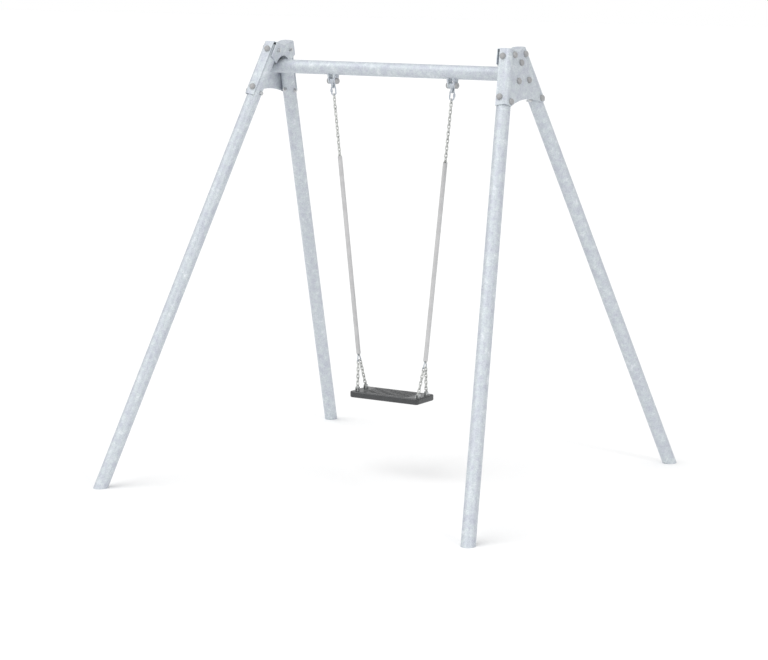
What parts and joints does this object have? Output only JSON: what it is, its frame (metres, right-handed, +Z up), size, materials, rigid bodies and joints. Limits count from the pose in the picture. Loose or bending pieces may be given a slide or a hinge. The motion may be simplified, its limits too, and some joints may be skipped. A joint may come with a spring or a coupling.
{
  "type": "swing set with flat rubber seat",
  "caption": "A-frame steel swing frame with a flat rubber seat hung on sleeved chains, with bolted head brackets and pivoting hangers.",
  "frame": {"origin": "on the ground, under the middle of the crossbeam and between the four feet", "axes": "+X along the crossbeam to the right-hand head, +Y to the rear, in the swing direction, +Z up"},
  "size_m": [2.4174, 2.3412, 2.403],
  "materials": {
    "galvanised_steel": "hot-dip galvanised, dull with a faint spangle",
    "cap_plastic": "satin moulded",
    "zinc_fasteners": "zinc plated",
    "bearing_bronze": "sintered, dull",
    "forged_fittings": "hot-dip galvanised forging",
    "chain_steel": "hot-dip galvanised wire",
    "sleeve_pvc": "satin soft PVC",
    "seat_rubber": "moulded, matt",
    "seat_metal": "galvanised plate"
  },
  "bodies": {
    "frame": {"beam_bolts_left": "zinc_fasteners", "beam_bolts_right": "zinc_fasteners", "beam_flange_left": "galvanised_steel", "beam_flange_right": "galvanised_steel", "beam_nuts_left": "zinc_fasteners", "beam_nuts_right": "zinc_fasteners", "bolt_caps_left": "cap_plastic", "bolt_caps_right": "cap_plastic", "crossbeam": "galvanised_steel", "hanger_lugs_left": "galvanised_steel", "hanger_lugs_right": "galvanised_steel", "inner_bracket_left": "galvanised_steel", "inner_bracket_right": "galvanised_steel", "leg_bolts_left": "zinc_fasteners", "leg_bolts_right": "zinc_fasteners", "leg_front_left": "galvanised_steel", "leg_front_right": "galvanised_steel", "leg_nuts_left": "zinc_fasteners", "leg_nuts_right": "zinc_fasteners", "leg_rear_left": "galvanised_steel", "leg_rear_right": "galvanised_steel", "leg_washers_left": "zinc_fasteners", "leg_washers_right": "zinc_fasteners", "outer_bracket_left": "galvanised_steel", "outer_bracket_right": "galvanised_steel", "pivot_bolt_left": "zinc_fasteners", "pivot_bolt_right": "zinc_fasteners", "pivot_caps_left": "cap_plastic", "pivot_caps_right": "cap_plastic", "pivot_nut_left": "zinc_fasteners", "pivot_nut_right": "zinc_fasteners"},
    "left_suspension": {"chain_exposed_left": "chain_steel", "chain_sleeved_left": "chain_steel", "oval_link_left": "forged_fittings", "oval_link_nut_left": "forged_fittings", "pivot_bushes_left": "bearing_bronze", "swing_eye_left": "forged_fittings"},
    "right_suspension": {"chain_exposed_right": "chain_steel", "chain_sleeved_right": "chain_steel", "oval_link_nut_right": "forged_fittings", "oval_link_right": "forged_fittings", "pivot_bushes_right": "bearing_bronze", "swing_eye_right": "forged_fittings"},
    "left_sleeve": {"chain_sleeve_left": "sleeve_pvc"},
    "right_sleeve": {"chain_sleeve_right": "sleeve_pvc"},
    "seat_assembly": {"bridle_front_left": "chain_steel", "bridle_front_right": "chain_steel", "bridle_rear_left": "chain_steel", "bridle_rear_right": "chain_steel", "junction_ring_left": "forged_fittings", "junction_ring_right": "forged_fittings", "seat_core": "seat_metal", "seat_eye_nuts": "zinc_fasteners", "seat_eye_pins": "zinc_fasteners", "seat_eyes": "seat_metal", "seat_rubber": "seat_rubber"}
  },
  "joints": [
    {"name": "swing", "type": "hinge", "parent": "frame", "child": "left_suspension", "pos_m": [-0.386, 0, 2.188], "axis": [1, 0, 0], "range_deg": [-60, 60]},
    {"name": "right_swing", "type": "hinge", "parent": "frame", "child": "right_suspension", "pos_m": [0.386, 0, 2.188], "axis": [1, 0, 0], "range_deg": [-60, 60]},
    {"name": "seat_pitch", "type": "hinge", "parent": "left_suspension", "child": "seat_assembly", "pos_m": [-0.21928, 0, 0.65792], "axis": [1, 0, 0], "range_deg": [-35, 35]},
    {"name": "left_sleeve_spin", "type": "hinge", "parent": "left_suspension", "child": "left_sleeve", "pos_m": [-0.21928, 0, 0.65792], "axis": [-0.1103, 0, 0.9939], "continuous": true},
    {"name": "right_sleeve_spin", "type": "hinge", "parent": "right_suspension", "child": "right_sleeve", "pos_m": [0.21928, 0, 0.65792], "axis": [0.1103, 0, 0.9939], "continuous": true}
  ],
  "couplings": [
    {"joint": "right_swing", "follows": "swing", "ratio": 1}
  ]
}
